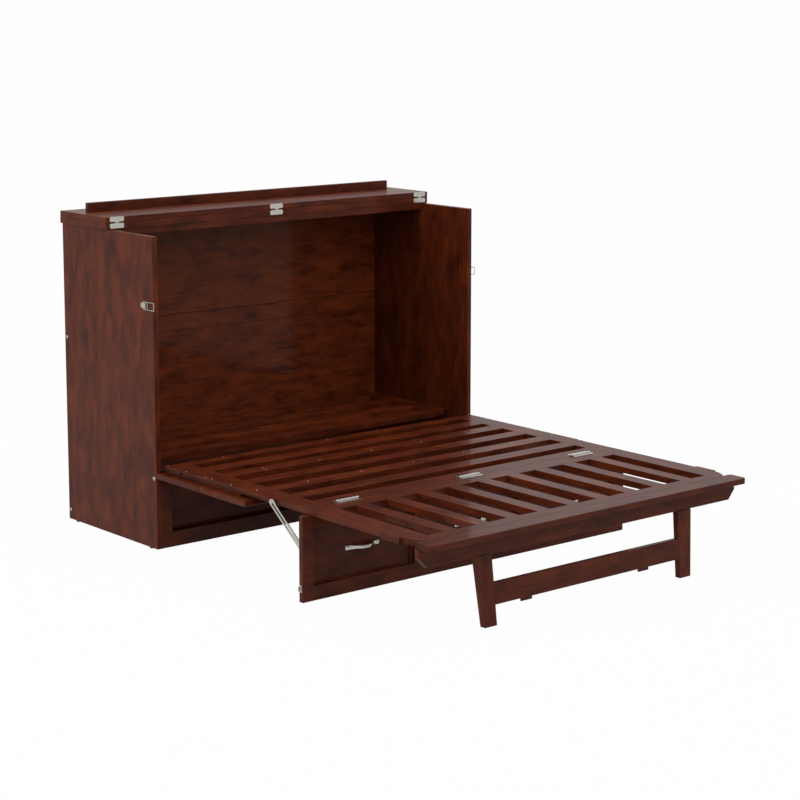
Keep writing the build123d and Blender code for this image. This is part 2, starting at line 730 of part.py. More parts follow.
# Stiles with a cove cut into the outer edge beside the end board.
with BuildPart() as foot_stiles:
    with BuildSketch(Plane.XY.offset(bed_under)):
        with Locations((-stile_x + foot_stile_w / 2, (foot_start + end_board_back) / 2)):
            Rectangle(foot_stile_w, foot_start - end_board_back)
        with BuildLine():
            cove_y = end_board_back + cove_end
            deep = (cove_depth - stile_x, cove_y)
            mouth = (-stile_x, cove_y + cove_len)
            ThreePointArc(mouth, (cove_mid_in - stile_x, cove_y + cove_mid_y), deep)
            Polyline(deep, (-stile_x - edge, cove_y), (-stile_x - edge, cove_y + cove_len), mouth)
        make_face(mode=Mode.SUBTRACT)
    extrude(amount=slat_t)
    mirror(about=Plane.YZ)
foot_stiles.part.label = "foot_stiles"
export_step(foot_stiles.part, "parts/foot_stiles.step")

with BuildPart() as foot_rear_rail:
    board(-foot_slat_x, foot_slat_x, foot_rail_front, foot_start, bed_under, bed_z)
foot_rear_rail.part.label = "foot_rear_rail"
export_step(foot_rear_rail.part, "parts/foot_rear_rail.step")

with BuildPart() as foot_end_rail:
    board(-foot_slat_x, foot_slat_x, end_board_back, end_rail_back, bed_under, bed_z)
foot_end_rail.part.label = "foot_end_rail"
export_step(foot_end_rail.part, "parts/foot_end_rail.step")

# Lengthwise slats at an even pitch.
foot_slat_pitch = 2 * (foot_slat_x - foot_slat_side - foot_slat_w / 2) / (foot_slats_n - 1)
with BuildPart() as foot_slats:
    with Locations((0, (foot_rail_front + end_rail_back) / 2, bed_under + slat_t / 2)):
        with GridLocations(foot_slat_pitch, 1, foot_slats_n, 1):
            Box(foot_slat_w, foot_rail_front - end_rail_back, slat_t)
foot_slats.part.label = "foot_slats"
export_step(foot_slats.part, "parts/foot_slats.step")

# End board, a little wider than the panel, with rounded corners.
with BuildPart() as foot_end_board:
    with BuildSketch(Plane.XY.offset(bed_under)):
        with Locations((0, tip + end_board_w / 2)):
            end = Rectangle(2 * (half - end_board_out), end_board_w)
        fillet(end.vertices().group_by(Axis.Y)[0], end_board_r)
        fillet(end.vertices().group_by(Axis.Y)[-1], ear_r)
    extrude(amount=slat_t)
    chamfer(foot_end_board.faces().sort_by(Axis.Z)[-1].edges(), edge)
foot_end_board.part.label = "foot_end_board"
export_step(foot_end_board.part, "parts/foot_end_board.step")

# Guide strips on the stiles' outer edges.
with BuildPart() as foot_strips:
    strip_back = end_board_back + cove_end + cove_len + strip_len
    board(strip_out - half, -stile_x, strip_back - strip_len, strip_back, bed_under, bed_z)
    mirror(about=Plane.YZ)
foot_strips.part.label = "foot_strips"
export_step(foot_strips.part, "parts/foot_strips.step")

with BuildPart() as foot_hinge_leaves:
    hinge_half(foot_hinges_x, seam, fold_z, foot_hinge_len, foot_hinge_r,
               (0, -1, 0), foot_hinge_r - plate_t, foot_hinge_r, foot_hinge_w, middle=True)
foot_hinge_leaves.part.label = "foot_hinge_leaves"
export_step(foot_hinge_leaves.part, "parts/foot_hinge_leaves.step")

leg_hinges_x = (-leg_hinge_x, leg_hinge_x)
with BuildPart() as leg_hinge_fixed:
    hinge_half(leg_hinges_x, leg_axis_y, leg_axis_z, leg_hinge_len, leg_hinge_r,
               (0, 1, 0), leg_hinge_r - plate_t, leg_hinge_r, leg_hinge_w, middle=False)
leg_hinge_fixed.part.label = "leg_hinge_fixed"
export_step(leg_hinge_fixed.part, "parts/leg_hinge_fixed.step")

# ======== leg frame ========

# The frame is drawn on its own raked plane: x across, y down the legs from the hinge axis.
leg_down = (0, -sin(radians(rake)), -cos(radians(rake)))
leg_normal = (0, cos(radians(rake)), -sin(radians(rake)))
leg_plane = Plane(origin=(0, leg_axis_y, leg_axis_z), x_dir=(1, 0, 0), z_dir=leg_normal)
leg_face = leg_plane.offset(-leg_hinge_r)            # rear face of the frame


def down(z):
    """Distance down the leg plane for a height above the floor."""
    return (leg_axis_z - z) / cos(radians(rake))


apron_low = leg_head_gap + apron_h
with BuildPart() as leg_apron:
    with BuildSketch(leg_face):
        with Locations((0, (leg_head_gap + apron_low) / 2)):
            apron = Rectangle(2 * (half - apron_out), apron_h)
        chamfer(apron.vertices().group_by(Axis.Y)[-1], apron_cut)
    extrude(amount=-apron_t)
leg_apron.part.label = "leg_apron"
export_step(leg_apron.part, "parts/leg_apron.step")

# Legs: tapered, splayed and raked, cut flat at the floor.
foot_x = half - leg_foot_out
head_x = foot_x + leg_spread
with BuildPart() as legs:
    with BuildSketch(leg_face):
        below = down(0) + leg_t
        grow = leg_t / (down(0) - apron_low)
        with BuildLine():
            Polyline((-head_x, apron_low), (leg_head_w - head_x, apron_low),
                     (leg_foot_w - foot_x + grow * (leg_foot_w - leg_head_w + leg_spread), below),
                     (-foot_x + grow * leg_spread, below), close=True)
        make_face()
    extrude(amount=-leg_t)
    board(-half, half, tip - leg_t, tip + 2 * end_board_w, -2 * leg_t, 0, mode=Mode.SUBTRACT)
    mirror(about=Plane.YZ)
legs.part.label = "legs"
export_step(legs.part, "parts/legs.step")


def leg_inside(z):
    """x of the leg's inner edge, at a height above the floor."""
    part_way = (down(0) - down(z)) / (down(0) - apron_low)
    low = foot_x - leg_foot_w
    return low + part_way * (head_x - leg_head_w - low)


with BuildPart() as leg_stretcher:
    with BuildSketch(leg_face):
        with BuildLine():
            Polyline((-leg_inside(stretcher_high), down(stretcher_high)),
                     (leg_inside(stretcher_high), down(stretcher_high)),
                     (leg_inside(stretcher_low), down(stretcher_low)),
                     (-leg_inside(stretcher_low), down(stretcher_low)), close=True)
        make_face()
    extrude(amount=-leg_t)
leg_stretcher.part.label = "leg_stretcher"
export_step(leg_stretcher.part, "parts/leg_stretcher.step")

# Two thin stops on the stretcher's rear face, a little below its lower edge.
with BuildPart() as leg_stops:
    with BuildSketch(leg_face):
        with Locations((0, down((stop_low + stop_high) / 2))):
            with GridLocations(2 * stop_x, 1, 2, 1):
                Rectangle(stop_w, down(stop_low) - down(stop_high))
    extrude(amount=stop_t)
leg_stops.part.label = "leg_stops"
export_step(leg_stops.part, "parts/leg_stops.step")

with BuildPart() as leg_hinge_leaves:
    hinge_half(leg_hinges_x, leg_axis_y, leg_axis_z, leg_hinge_len, leg_hinge_r,
               leg_down, -leg_hinge_r, plate_t - leg_hinge_r, leg_hinge_w, middle=True)
leg_hinge_leaves.part.label = "leg_hinge_leaves"
export_step(leg_hinge_leaves.part, "parts/leg_hinge_leaves.step")

# ======== latches ========

latch_x = half + latch_axis_out
latch_y = front + latch_axis_set
loop_y = latch_y + latch_throw

# Base plate with two ears and the lever's pin.
with BuildPart() as latch_bases:
    plate_front = front + latch_plate_set
    board(-half - latch_plate_t, -half, plate_front, plate_front + latch_plate_len,
          latch_z - latch_plate_h / 2, latch_z + latch_plate_h / 2)
    chamfer(latch_bases.edges().filter_by(Axis.X), edge)
    ear_z = lever_w / 2 + side_play
    for z in (latch_z + ear_z, latch_z - ear_z - ear_t):
        with BuildSketch(Plane.XY.offset(z)):
            with Locations((-latch_x, latch_y)):
                Circle(latch_barrel_r + edge)
            with Locations((-half - latch_axis_out / 2, latch_y)):
                Rectangle(latch_axis_out, 2 * (latch_barrel_r + edge))
        extrude(amount=ear_t)
    with Locations((-latch_x, latch_y, latch_z)):
        Cylinder(latch_pin_r, 2 * (ear_z + ear_t))
    mirror(about=Plane.YZ)
latch_bases.part.label = "latch_bases"
export_step(latch_bases.part, "parts/latch_bases.step")

# Lever: a flat handle with a barrel on the pin and a smaller one that holds the loop.
with BuildPart() as latch_lever_left:
    with BuildSketch(Plane.XY.offset(latch_z - lever_w / 2)):
        with Locations((-latch_x, latch_y)):
            Circle(latch_barrel_r)
        with Locations((-latch_x, loop_y)):
            Circle(wire_r + edge)
        with Locations((-latch_x, latch_y + lever_len / 2)):
            Rectangle(lever_t, lever_len)
        with Locations((-latch_x, latch_y)):
            Circle(latch_pin_r + running, mode=Mode.SUBTRACT)
        with Locations((-latch_x, loop_y)):
            Circle(wire_r + running, mode=Mode.SUBTRACT)
    extrude(amount=lever_w)
latch_lever_left.part.label = "latch_lever_left"
export_step(latch_lever_left.part, "parts/latch_lever_left.step")

with BuildPart() as latch_lever_right:
    add(latch_lever_left.part.mirror(Plane.YZ))
latch_lever_right.part.label = "latch_lever_right"
export_step(latch_lever_right.part, "parts/latch_lever_right.step")

# Wire loop: its two ends turn in to the lever, and its closed end reaches past the cabinet front.
with BuildPart() as latch_loop_left:
    loop_front = front - loop_tip + wire_r
    with BuildLine() as wire:
        Polyline((-latch_x, loop_y, latch_z + side_play), (-latch_x, loop_y, latch_z + loop_half),
                 (-latch_x, loop_front, latch_z + loop_half), (-latch_x, loop_front, latch_z - loop_half),
                 (-latch_x, loop_y, latch_z - loop_half), (-latch_x, loop_y, latch_z - side_play))
    with BuildSketch(Plane.XY.offset(latch_z + side_play)):
        with Locations((-latch_x, loop_y)):
            Circle(wire_r)
    sweep(path=wire.line, transition=Transition.RIGHT)
latch_loop_left.part.label = "latch_loop_left"
export_step(latch_loop_left.part, "parts/latch_loop_left.step")

with BuildPart() as latch_loop_right:
    add(latch_loop_left.part.mirror(Plane.YZ))
latch_loop_right.part.label = "latch_loop_right"
export_step(latch_loop_right.part, "parts/latch_loop_right.step")

# Strikes on the leaf's ends: a plate and a tongue that the loop hooks over when the bed is closed.
closed_turn = pivot_y + pivot_z                       # raised height = closed_turn - y
strike_z = latch_z - closed_turn + leaf_axis_y + leaf_axis_z
closed_back = pivot_z - pivot_back - leaf_axis_z      # leaf y to closed depth behind the front
loop_inside = loop_tip - 2 * wire_r
tongue_y = leaf_axis_y + closed_back - loop_inside + strike_play
with BuildPart() as strikes:
    plate_y = leaf_front + (leaf_t - leaf_rebate) / 2
    board(-leaf_half - strike_plate_t, -leaf_half, plate_y - strike_plate_w / 2, plate_y + strike_plate_w / 2,
          strike_z - strike_plate_h / 2, strike_z + strike_plate_h / 2)
    board(-latch_x - strike_end, -leaf_half, tongue_y, tongue_y + strike_t,
          strike_z - strike_w / 2, strike_z + strike_w / 2)
    mirror(about=Plane.YZ)
strikes.part.label = "strikes"
export_step(strikes.part, "parts/strikes.step")
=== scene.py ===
"""Fold-away cabinet bed in stained hardwood with nickel fittings, opened out."""
import json
import math

import bmesh
import bpy
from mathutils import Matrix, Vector


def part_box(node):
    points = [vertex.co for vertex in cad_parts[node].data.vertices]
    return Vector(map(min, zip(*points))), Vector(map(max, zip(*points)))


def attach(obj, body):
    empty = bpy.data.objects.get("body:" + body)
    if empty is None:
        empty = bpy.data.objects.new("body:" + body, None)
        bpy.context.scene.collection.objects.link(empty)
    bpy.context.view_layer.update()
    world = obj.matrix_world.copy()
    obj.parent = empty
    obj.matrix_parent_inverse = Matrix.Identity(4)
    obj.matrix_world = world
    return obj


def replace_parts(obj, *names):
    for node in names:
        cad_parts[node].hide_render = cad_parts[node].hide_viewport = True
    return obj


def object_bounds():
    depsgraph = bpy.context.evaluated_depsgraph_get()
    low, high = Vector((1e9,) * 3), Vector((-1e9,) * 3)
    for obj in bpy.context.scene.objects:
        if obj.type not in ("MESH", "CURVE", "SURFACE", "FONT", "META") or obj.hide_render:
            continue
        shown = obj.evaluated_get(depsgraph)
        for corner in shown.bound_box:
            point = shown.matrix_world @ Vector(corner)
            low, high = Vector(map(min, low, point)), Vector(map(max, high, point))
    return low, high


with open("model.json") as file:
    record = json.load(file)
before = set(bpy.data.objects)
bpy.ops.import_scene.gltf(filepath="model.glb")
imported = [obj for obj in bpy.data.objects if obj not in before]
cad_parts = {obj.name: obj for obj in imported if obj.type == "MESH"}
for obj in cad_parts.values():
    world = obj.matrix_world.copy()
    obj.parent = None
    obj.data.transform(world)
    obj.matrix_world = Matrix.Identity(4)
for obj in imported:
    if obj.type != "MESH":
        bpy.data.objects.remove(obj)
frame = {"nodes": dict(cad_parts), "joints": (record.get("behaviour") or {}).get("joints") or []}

cad_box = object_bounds()

# ======== Cabinet sides ========
# Two plain boards of glued-up hardwood, sawn square and sanded round at every edge.
# They are stained red-brown, then sprayed with a clear lacquer that is rubbed to a gloss.
MM = 0.001                # Blender's unit is the metre
EASED = 0.9 * MM
STAIN_DARK = "#371309"
STAIN_MID = "#4f1f0d"
STAIN_LIGHT = "#6a2e12"
STAIN_SPOT = "#220a07"


def linear(colour):
    """A #rrggbb colour as linear light, with full opacity."""
    parts = [int(colour[i:i + 2], 16) / 255 for i in (1, 3, 5)]
    return tuple(p / 12.92 if p <= 0.04045 else ((p + 0.055) / 1.055) ** 2.4 for p in parts) + (1.0,)


def add(tree, kind, feeds=None, **settings):
    """One node with its settings; feeds gives each input a value or another node's output."""
    made = tree.nodes.new(kind)
    for name, value in settings.items():
        setattr(made, name, value)
    for name, value in (feeds or {}).items():
        socket = made.inputs[name]
        if isinstance(value, bpy.types.NodeSocket):
            tree.links.new(value, socket)
        else:
            socket.default_value = value
    return made


def bare_material(name):
    """A new node material with nothing in it but its output."""
    made = bpy.data.materials.new(name)
    made.use_nodes = True
    made.node_tree.nodes.clear()
    return made, made.node_tree


# Stained and lacquered hardwood.  The stain goes on unevenly, so the eye sees soft clouds, and
# darker flecks and knots drawn out along the grain; the lacquer is glassy and mirrors what is near.
CLOUD = 50 * MM
FLECK = 28 * MM
DRAWN_OUT = 0.38          # width of a cloud or a fleck for its length
KNOT_PITCH = 105 * MM
KNOT = 34 * MM
KNOT_DRAWN_OUT = 0.6
RAGGED = 75 * MM          # how far a knot strays from round
GRAIN = 5.5 * MM          # coarser than real pores, so that it shows
GRAIN_DRAWN_OUT = 0.05
stained_wood, tree = bare_material("stained_lacquered_hardwood")
grain = add(tree, "ShaderNodeAttribute", attribute_name="grain")
tone_and_painted_light = add(tree, "ShaderNodeAttribute", attribute_name="tone_and_painted_light")
long_way = add(tree, "ShaderNodeMapping",
               {"Vector": grain.outputs["Vector"], "Scale": (DRAWN_OUT, 1.0, 1.0)})
cloud = add(tree, "ShaderNodeTexNoise",
            {"Vector": long_way.outputs[0], "Scale": 1 / CLOUD,
             "Detail": 4.0, "Roughness": 0.55, "Distortion": 0.1})
fleck = add(tree, "ShaderNodeTexNoise",
            {"Vector": long_way.outputs[0], "Scale": 1 / FLECK,
             "Detail": 2.0, "Roughness": 0.5, "Distortion": 0.15})
fine_way = add(tree, "ShaderNodeMapping",
               {"Vector": grain.outputs["Vector"], "Scale": (GRAIN_DRAWN_OUT, 1.0, 1.0)})
pore = add(tree, "ShaderNodeTexNoise",
           {"Vector": fine_way.outputs[0], "Scale": 1 / GRAIN, "Detail": 2.0, "Roughness": 0.5})
# The tone attribute holds each board's random tone plus any painted light or shade, which moves the board
# along the stain's ramp.
shaded = add(tree, "ShaderNodeMath", {0: cloud.outputs["Fac"], 1: tone_and_painted_light.outputs["Fac"]}, operation="ADD")
ramp = add(tree, "ShaderNodeValToRGB", {"Fac": shaded.outputs[0]})
ramp.color_ramp.elements[0].position = 0.14
ramp.color_ramp.elements[0].color = linear(STAIN_DARK)
ramp.color_ramp.elements[1].position = 0.86
ramp.color_ramp.elements[1].color = linear(STAIN_LIGHT)
ramp.color_ramp.elements.new(0.52).color = linear(STAIN_MID)
gathered = add(tree, "ShaderNodeMapRange",
               {"Value": cloud.outputs["Fac"], "From Min": 0.58, "From Max": 0.42,
                "To Min": 0.1, "To Max": 0.5})
flecked = add(tree, "ShaderNodeMapRange",
              {"Value": fleck.outputs["Fac"], "From Min": 0.5, "From Max": 0.68, "To Min": 0.0,
               "To Max": gathered.outputs[0]})
knot_way = add(tree, "ShaderNodeMapping",
               {"Vector": grain.outputs["Vector"], "Scale": (KNOT_DRAWN_OUT, 1.0, 1.0)})
strayed = add(tree, "ShaderNodeVectorMath",
              {0: fleck.outputs["Color"], 1: (RAGGED, RAGGED, RAGGED), 2: knot_way.outputs[0]},
              operation="MULTIPLY_ADD")
knot = add(tree, "ShaderNodeTexVoronoi",
           {"Vector": strayed.outputs[0], "Scale": 1 / KNOT_PITCH, "Randomness": 1.0})
chance = add(tree, "ShaderNodeSeparateColor", {"Color": knot.outputs["Color"]})
depth = add(tree, "ShaderNodeMapRange",
            {"Value": chance.outputs["Red"], "From Min": 0.35, "From Max": 0.75,
             "To Min": 0.0, "To Max": 0.62})
knotted = add(tree, "ShaderNodeMapRange",
              {"Value": knot.outputs["Distance"], "From Min": 0.3 * KNOT / KNOT_PITCH,
               "From Max": KNOT / KNOT_PITCH, "To Min": depth.outputs[0], "To Max": 0.0})
darkest = add(tree, "ShaderNodeMath", {0: flecked.outputs[0], 1: knotted.outputs[0]}, operation="MAXIMUM")
spotted = add(tree, "ShaderNodeMix",
              {"Factor": darkest.outputs[0], "A": ramp.outputs["Color"], "B": linear(STAIN_SPOT)},
              data_type="RGBA")
streak = add(tree, "ShaderNodeMapRange",
             {"Value": pore.outputs["Fac"], "From Min": 0.3, "From Max": 0.7,
              "To Min": 0.79, "To Max": 1.21})
grained = add(tree, "ShaderNodeVectorMath",
              {0: spotted.outputs["Result"], 1: streak.outputs[0]}, operation="MULTIPLY")
relief = add(tree, "ShaderNodeBump",
             {"Height": pore.outputs["Fac"], "Strength": 0.12, "Distance": 0.2 * MM})
surface = add(tree, "ShaderNodeBsdfPrincipled",
              {"Base Color": grained.outputs[0], "Roughness": 0.45, "IOR": 1.5, "Normal": relief.outputs[0],
               "Specular IOR Level": 0.08, "Coat Weight": 0.125, "Coat Roughness": 0.08, "Coat IOR": 1.5})
add(tree, "ShaderNodeOutputMaterial", {"Surface": surface.outputs[0]})


SHADE_SPREAD = 0.05       # boards of one lot differ by this share of the stain's range


def lay_grain(work, painted_light_shift=0.0):
    """Gives each board of a mesh its own grain, along its length, and its own random tone, shifted by the
    painted light or shade it is given.
    """
    lay = work.verts.layers.float_vector.new("grain")
    shade = work.verts.layers.float.new("tone_and_painted_light")
    left = set(work.verts)
    count = 0
    for first in work.verts[:]:
        if first not in left:
            continue
        left.discard(first)
        island = [first]
        for vert in island:
            for edge in vert.link_edges:
                other = edge.other_vert(vert)
                if other in left:
                    left.discard(other)
                    island.append(other)
        spans = [max(v.co[i] for v in island) - min(v.co[i] for v in island) for i in range(3)]
        order = sorted(range(3), key=lambda i: -spans[i])
        seed = sum((i + 1) * round(max(v.co[i] for v in island), 3) for i in range(3))
        shift = Vector((17.3 * seed, 5.1 * count, 2.7 * seed))
        # Painted light or shade is added to the board's random tone here.
        own = painted_light_shift + SHADE_SPREAD * math.sin(40 * seed + 2.4 * count)
        for vert in island:
            vert[lay] = Vector([vert.co[i] for i in order]) + shift
            vert[shade] = own
        count += 1


def fitted(name, mesh, body):
    """A finished mesh becomes a piece that rides on a body."""
    piece = bpy.data.objects.new(name, mesh)
    bpy.context.scene.collection.objects.link(piece)
    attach(piece, body)
    return piece


def new_piece(name, work, material, body):
    """A bmesh takes its material and becomes a piece."""
    mesh = bpy.data.meshes.new(name)
    work.to_mesh(mesh)
    work.free()
    mesh.materials.append(material)
    return fitted(name, mesh, body)


FLAT = math.radians(0.5)      # triangles that meet flatter than this are one face
CORNER = math.radians(50)     # edges sharper than this are sanded


def boards(node, body, eased=EASED, painted_light_shift=0.0, moves=()):
    """The boards of a CAD node with sanded edges, made lighter or darker by any painted light or shade
    given to them.

    Each move is (axis, way, distance): the faces furthest that way go further by the distance.
    """
    work = bmesh.new()
    work.from_mesh(frame["nodes"][node].data)
    bmesh.ops.remove_doubles(work, verts=work.verts, dist=0.01 * MM)
    bmesh.ops.dissolve_limit(work, angle_limit=FLAT, verts=work.verts, edges=work.edges)
    for axis, way, distance in moves:
        furthest = max(way * vert.co[axis] for vert in work.verts) - EASED
        for vert in work.verts:
            if way * vert.co[axis] > furthest:
                vert.co[axis] += way * distance
    corners = [e for e in work.edges if len(e.link_faces) == 2 and e.calc_face_angle() > CORNER]
    bmesh.ops.bevel(work, geom=corners, offset=eased, segments=2, profile=0.5, affect="EDGES",
                    clamp_overlap=True)
    lay_grain(work, painted_light_shift)
    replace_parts(new_piece(node + "_boards", work, stained_wood, body), node)


boards("side_left", "cabinet")
boards("side_right", "cabinet")

# ======== Glides ========
# Four small discs nailed under the sides, moulded in brown polyethylene.
# They lift the boards clear of a damp floor and slide without marking it.
GLIDE_BROWN = "#3a2a22"
# Moulded polyethylene: waxy and soft-edged, with the faint bloom of a steel mould.
BLOOM = 0.8 * MM
glide_plastic, tree = bare_material("moulded_polyethylene")
place = add(tree, "ShaderNodeTexCoord")
bloom = add(tree, "ShaderNodeTexNoise",
            {"Vector": place.outputs["Object"], "Scale": 1 / BLOOM, "Detail": 2.0})
bloomed = add(tree, "ShaderNodeMapRange",
              {"Value": bloom.outputs["Fac"], "To Min": 0.4, "To Max": 0.55})
moulded = add(tree, "ShaderNodeBump",
              {"Height": bloom.outputs["Fac"], "Strength": 0.1, "Distance": 0.1 * MM})
surface = add(tree, "ShaderNodeBsdfPrincipled",
              {"Base Color": linear(GLIDE_BROWN), "Roughness": bloomed.outputs[0], "IOR": 1.5,
               "Normal": moulded.outputs[0]})
add(tree, "ShaderNodeOutputMaterial", {"Surface": surface.outputs[0]})


def finish(node, material):
    """A CAD node that stays as it is takes its material."""
    mesh = frame["nodes"][node].data
    mesh.materials.clear()
    mesh.materials.append(material)


finish("glides", glide_plastic)

# ======== Cabinet back and top ========
# An upper and a lower back board with a rail between them, tongued together and screwed to the
# sides, and a fixed top over the rear half with a rail under its front edge.
BACK_GAP = 3.2 * MM       # left open on both sides of the rail, so that the boards can swell
BACK_PAINTED_LIGHT = 0.22       # painted light: the back's boards are painted paler for the light inside the cabinet
TONGUE_HIGH = 12 * MM
TONGUE_THICK = 5 * MM
for node in ("back_lower", "back_upper"):
    boards(node, "cabinet", EASED, BACK_PAINTED_LIGHT)
boards("back_rail", "cabinet", EASED, BACK_PAINTED_LIGHT, [(2, 1, -BACK_GAP), (2, -1, -BACK_GAP)])


def lath(work, low, high):
    """Adds a square-edged strip between two corners."""
    for vert in bmesh.ops.create_cube(work, size=1.0)["verts"]:
        vert.co = [high[i] if vert.co[i] > 0 else low[i] for i in range(3)]


rail_low, rail_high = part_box("back_rail")
rail_y = (rail_low[1] + rail_high[1]) / 2
work = bmesh.new()
for joint_z in (rail_low[2], rail_high[2]):
    lath(work, (rail_low[0], rail_y - TONGUE_THICK / 2, joint_z - TONGUE_HIGH / 2),
         (rail_high[0], rail_y + TONGUE_THICK / 2, joint_z + TONGUE_HIGH / 2))
lay_grain(work)
new_piece("back_tongues", work, stained_wood, "cabinet")
for node in ("fixed_top", "top_rail"):
    boards(node, "cabinet")

# ======== Base front ========
# A mortised frame with one long sunk panel, of the same stained hardwood as the sides.
# It is fixed between them below the bed and ties the cabinet's front together.
for node in ("base_frame", "base_panel"):
    boards(node, "cabinet")

# ======== Deck in the cabinet ========
# Slats laid on cleats between two end boards: the head of the mattress rests here.
# They are planed strips of the same wood, screwed down from above.
SLAT_EASED = 0.4 * MM     # planed, with the edges just broken
DECK_PAINTED_SHEEN = 0.14       # painted sheen: the strips are painted paler for the sheen on their tops
for node in ("deck_ends", "deck_front", "deck_cleats"):
    boards(node, "cabinet", SLAT_EASED)
boards("deck_slats", "cabinet", SLAT_EASED, DECK_PAINTED_SHEEN)

# ======== Pivots ========
# A stub pin on a plate in each side, and a bracket with an eye on each stile of the platform.
# Both are pressed from steel strip and stove enamelled brown, to be lost against the wood.
ENAMEL_BROWN = "#3b1a10"
# Stove enamel on steel: matt and flowed out, with the slight waviness called orange peel.
ORANGE_PEEL = 2.5 * MM
brown_enamel, tree = bare_material("stove_enamelled_steel")
place = add(tree, "ShaderNodeTexCoord")
peel = add(tree, "ShaderNodeTexNoise",
           {"Vector": place.outputs["Object"], "Scale": 1 / ORANGE_PEEL, "Detail": 1.0})
flowed = add(tree, "ShaderNodeMapRange", {"Value": peel.outputs["Fac"], "To Min": 0.5, "To Max": 0.66})
waved = add(tree, "ShaderNodeBump", {"Height": peel.outputs["Fac"], "Strength": 0.15, "Distance": 0.1 * MM})
surface = add(tree, "ShaderNodeBsdfPrincipled",
              {"Base Color": linear(ENAMEL_BROWN), "Roughness": flowed.outputs[0], "IOR": 1.5,
               "Specular IOR Level": 0.2, "Normal": waved.outputs[0]})
add(tree, "ShaderNodeOutputMaterial", {"Surface": surface.outputs[0]})
for node in ("pivot_plates", "pivot_brackets"):
    finish(node, brown_enamel)

# ======== Platform ========
# Two stiles joined by a rear rail, slats and a hinge board, on battens that carry
# the two wide boards below.  Swung up, those boards close the front of the cabinet.
HINGE_BOARD_LATH = 10 * MM    # glued along the hinge board's rear edge
BOARD_EASED = 2.4 * MM
for node in ("platform_stiles", "platform_rear_rail", "platform_slats"):
    boards(node, "platform", SLAT_EASED)
boards("hinge_board", "platform", SLAT_EASED, moves=[(1, 1, HINGE_BOARD_LATH)])
boards("platform_battens", "platform")
for node in ("front_board_low", "front_board_high"):
    boards(node, "platform", BOARD_EASED)

# ======== Foot panel ========
# Stiles, rails and lengthwise slats that carry the foot of the mattress, with a wider
# rounded board across the end and thin guide strips on the outer edges.
SLAT_DEEPER = 1.9 * MM    # the lengthwise slats are sawn from thicker stock
END_PAINTED_SHADE = -0.14        # painted shade: the end's boards are painted darker for the shade on them
for node in ("foot_stiles", "foot_rear_rail", "foot_strips"):
    boards(node, "foot_panel", SLAT_EASED)
boards("foot_end_rail", "foot_panel", SLAT_EASED, END_PAINTED_SHADE)
boards("foot_slats", "foot_panel", SLAT_EASED, moves=[(2, -1, SLAT_DEEPER)])
boards("foot_end_board", "foot_panel", EASED, END_PAINTED_SHADE)

# ======== Ledger strips ========
# A thin strip glued under each stile of the foot panel beside the outermost slot,
# to stiffen the stile.  Planed from the same wood and stained with it.
LEDGER_WIDE = 16 * MM
LEDGER_DEEP = 7 * MM
LEDGER_SHORT = 40 * MM    # the leg frame's apron folds against the stile here
slat_low, slat_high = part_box("foot_slats")
stile_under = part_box("foot_stiles")[0][2]
work = bmesh.new()
slot_wall = min(abs(vert.co.x) for vert in frame["nodes"]["foot_stiles"].data.vertices)
for way in (-1, 1):
    edges = sorted((way * slot_wall, way * (slot_wall + LEDGER_WIDE)))
    lath(work, (edges[0], slat_low[1] + LEDGER_SHORT, stile_under - LEDGER_DEEP),
         (edges[1], slat_high[1], stile_under))
bmesh.ops.bevel(work, geom=work.edges[:], offset=SLAT_EASED, segments=2, profile=0.5, affect="EDGES")
lay_grain(work)
new_piece("ledger_strips", work, stained_wood, "foot_panel")

# ======== Seam hinges ========
# Three long butt hinges on top of the seam, rolled from steel and nickel plated.  Their plates
# lie flat on the boards, and the knuckles stand up between them.
NICKEL = "#c2beb7"
# Nickel-plated steel: a bright, slightly warm mirror, softened by the tumbling before plating.
TUMBLED = 1.6 * MM        # coarser than real, so that it shows
nickel_steel, tree = bare_material("nickel_plated_pressed_steel")
place = add(tree, "ShaderNodeTexCoord")
tumble = add(tree, "ShaderNodeTexNoise",
             {"Vector": place.outputs["Object"], "Scale": 1 / TUMBLED, "Detail": 3.0, "Roughness": 0.6})
hazed = add(tree, "ShaderNodeMapRange", {"Value": tumble.outputs["Fac"], "To Min": 0.16, "To Max": 0.34})
rubbed = add(tree, "ShaderNodeBump",
             {"Height": tumble.outputs["Fac"], "Strength": 0.08, "Distance": 0.1 * MM})
surface = add(tree, "ShaderNodeBsdfPrincipled",
              {"Base Color": linear(NICKEL), "Metallic": 1.0, "Roughness": hazed.outputs[0],
               "Normal": rubbed.outputs[0]})
add(tree, "ShaderNodeOutputMaterial", {"Surface": surface.outputs[0]})
for node in ("foot_hinge_fixed", "foot_hinge_leaves"):
    finish(node, nickel_steel)

# ======== Leg frame ========
# An apron, two splayed legs and a stretcher with two small stops, hung on butt hinges under
# the end board.  The joints are mortised and glued, and the hinges are nickel-plated steel.
for node in ("leg_apron", "legs", "leg_stretcher", "leg_stops"):
    boards(node, "leg_frame")
for node in ("leg_hinge_fixed", "leg_hinge_leaves"):
    finish(node, nickel_steel)

# ======== Leaf ========
# A framed front with three sunk panels, hinged under the platform, with a bow handle on
# each panel: closed it is the cabinet's drawer-like front, and open it is the middle leg.
for node in ("leaf_frame", "leaf_panels"):
    boards(node, "leaf")
for node in ("leaf_hinge_fixed", "leaf_hinge_leaves", "strikes"):
    finish(node, nickel_steel)

# ======== Beads ========
# A thin quarter-round bead is pinned in the corner between each panel and its frame.
# It is planed from the same wood and stained with it.
BEAD = 5.5 * MM
BEAD_ARC = 4
MULLION = 52 * MM
FIELDS = 3
panel_low, panel_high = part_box("leaf_panels")
field_w = (panel_high[0] - panel_low[0] - (FIELDS - 1) * MULLION) / FIELDS
field_lefts = [panel_low[0] + field * (field_w + MULLION) for field in range(FIELDS)]


